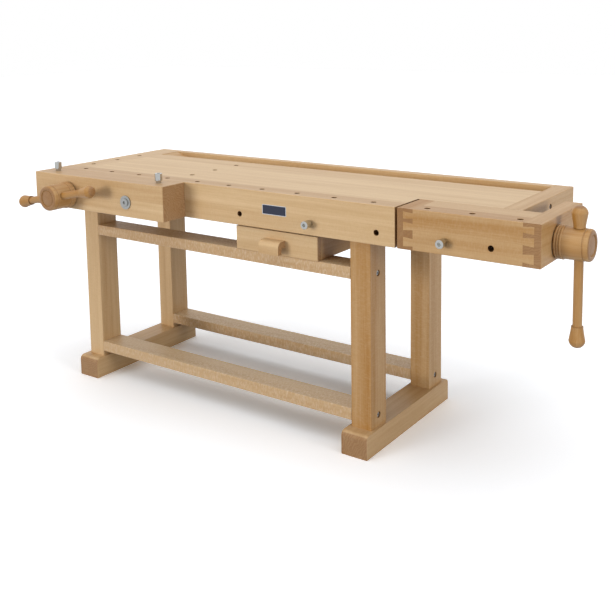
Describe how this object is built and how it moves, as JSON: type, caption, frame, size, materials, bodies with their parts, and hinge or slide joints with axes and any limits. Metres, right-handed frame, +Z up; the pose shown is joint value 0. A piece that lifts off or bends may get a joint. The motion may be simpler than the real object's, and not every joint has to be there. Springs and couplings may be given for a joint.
{
  "type": "woodworking bench with vises",
  "caption": "Hardwood workbench on sled feet with a rear tool tray, a hanging drawer, a long front vise and an L-shaped tail vise, both with wooden hubs and bars.",
  "frame": {"origin": "point on the floor under the middle of the whole bench, vises as drawn", "axes": "+X along the bench from the front vise to the tail vise, +Y from the front edge to the tray at the back, +Z up"},
  "size_m": [2.1998, 0.8536, 0.8984],
  "materials": {
    "beech": "oiled beech, planed",
    "birch_plywood": "birch plywood, sanded",
    "bright_steel": "bright turned steel",
    "zinc_steel": "zinc-plated steel",
    "cast_nut": "cast iron, plain",
    "bush_nylon": "black nylon"
  },
  "bodies": {
    "bench": {"foot_left": "beech", "foot_right": "beech", "leg_front_left": "beech", "leg_front_right": "beech", "leg_rear_left": "beech", "leg_rear_right": "beech", "stretcher_lower_front": "beech", "stretcher_lower_rear": "beech", "stretcher_upper_front": "beech", "stretcher_bolts": "zinc_steel", "bearer_left": "beech", "bearer_right": "beech", "front_apron": "beech", "worktop_slab": "beech", "left_end_cap": "beech", "right_end_cap": "beech", "cap_bolts": "zinc_steel", "back_rail": "beech", "tray_floor": "birch_plywood", "tray_ramp": "beech", "front_screw_nut": "cast_nut", "front_guide_bushes": "bush_nylon", "front_guide_block": "beech", "tail_guide_beam": "beech", "tail_guide_hangers": "beech", "bench_jaw_block": "beech", "tail_screw_nut": "cast_nut", "drawer_rails": "beech"},
    "front_vise_jaw": {"front_jaw": "beech", "front_guide_rod": "bright_steel", "front_guide_washer": "zinc_steel", "front_guide_bolt": "zinc_steel", "front_hub_plate": "zinc_steel"},
    "front_vise_screw": {"front_spindle": "bright_steel", "front_hub": "beech", "front_collar": "zinc_steel"},
    "front_vise_bar": {"front_bar": "beech", "front_bar_knobs": "beech"},
    "tail_vise": {"tail_front_board": "beech", "tail_jaw_block": "beech", "tail_end_cap": "beech", "tail_top_cover": "beech", "tail_guide_strip": "beech", "tail_guide_bar": "beech", "tail_hub_plate": "zinc_steel"},
    "tail_vise_screw": {"tail_spindle": "bright_steel", "tail_hub": "beech", "tail_collar": "zinc_steel"},
    "tail_vise_bar": {"tail_bar": "beech", "tail_bar_knobs": "beech"},
    "drawer": {"drawer_front": "beech", "drawer_side_left": "beech", "drawer_side_right": "beech", "drawer_back": "beech", "drawer_bottom": "birch_plywood", "drawer_pull": "beech"},
    "jaw_dog_left": {"jaw_dog_left": "bright_steel"},
    "jaw_dog_right": {"jaw_dog_right": "bright_steel"},
    "apron_dog": {"apron_dog": "bright_steel"},
    "tail_dog": {"tail_dog": "bright_steel"}
  },
  "joints": [
    {"name": "front_screw_turn", "type": "hinge", "parent": "front_vise_jaw", "child": "front_vise_screw", "pos_m": [-0.89207, -0.32275, 0.784], "axis": [0, -1, 0], "range_deg": [0, 10800]},
    {"name": "front_jaw_slide", "type": "slide", "parent": "bench", "child": "front_vise_jaw", "axis": [0, -1, 0], "range_m": [0, 0.15]},
    {"name": "front_bar_slide", "type": "slide", "parent": "front_vise_screw", "child": "front_vise_bar", "axis": [0.9816, 0, 0.1908], "range_m": [-0.105, 0.095]},
    {"name": "tail_screw_turn", "type": "hinge", "parent": "tail_vise", "child": "tail_vise_screw", "pos_m": [0.99593, -0.07125, 0.784], "axis": [1, 0, 0], "range_deg": [-540, 10080]},
    {"name": "tail_vise_slide", "type": "slide", "parent": "bench", "child": "tail_vise", "axis": [1, 0, 0], "range_m": [-0.0075, 0.14]},
    {"name": "tail_bar_slide", "type": "slide", "parent": "tail_vise_screw", "child": "tail_vise_bar", "axis": [0, 0, 1], "range_m": [0, 0.2011]},
    {"name": "drawer_slide", "type": "slide", "parent": "bench", "child": "drawer", "axis": [0, -1, 0], "range_m": [0, 0.25]},
    {"name": "jaw_dog_left_lift", "type": "slide", "parent": "front_vise_jaw", "child": "jaw_dog_left", "axis": [0, 0, 1], "range_m": [-0.0075, 0.03]},
    {"name": "jaw_dog_right_lift", "type": "slide", "parent": "front_vise_jaw", "child": "jaw_dog_right", "axis": [0, 0, 1], "range_m": [-0.0075, 0.03]},
    {"name": "apron_dog_pull", "type": "slide", "parent": "bench", "child": "apron_dog", "axis": [0, -1, 0], "range_m": [-0.0075, 0.03]},
    {"name": "tail_dog_pull", "type": "slide", "parent": "tail_vise", "child": "tail_dog", "axis": [0, -1, 0], "range_m": [-0.0075, 0.03]}
  ],
  "couplings": [
    {"joint": "front_jaw_slide", "follows": "front_screw_turn", "m_per_rad": 0.00079577},
    {"joint": "tail_vise_slide", "follows": "tail_screw_turn", "m_per_rad": 0.00079577}
  ]
}
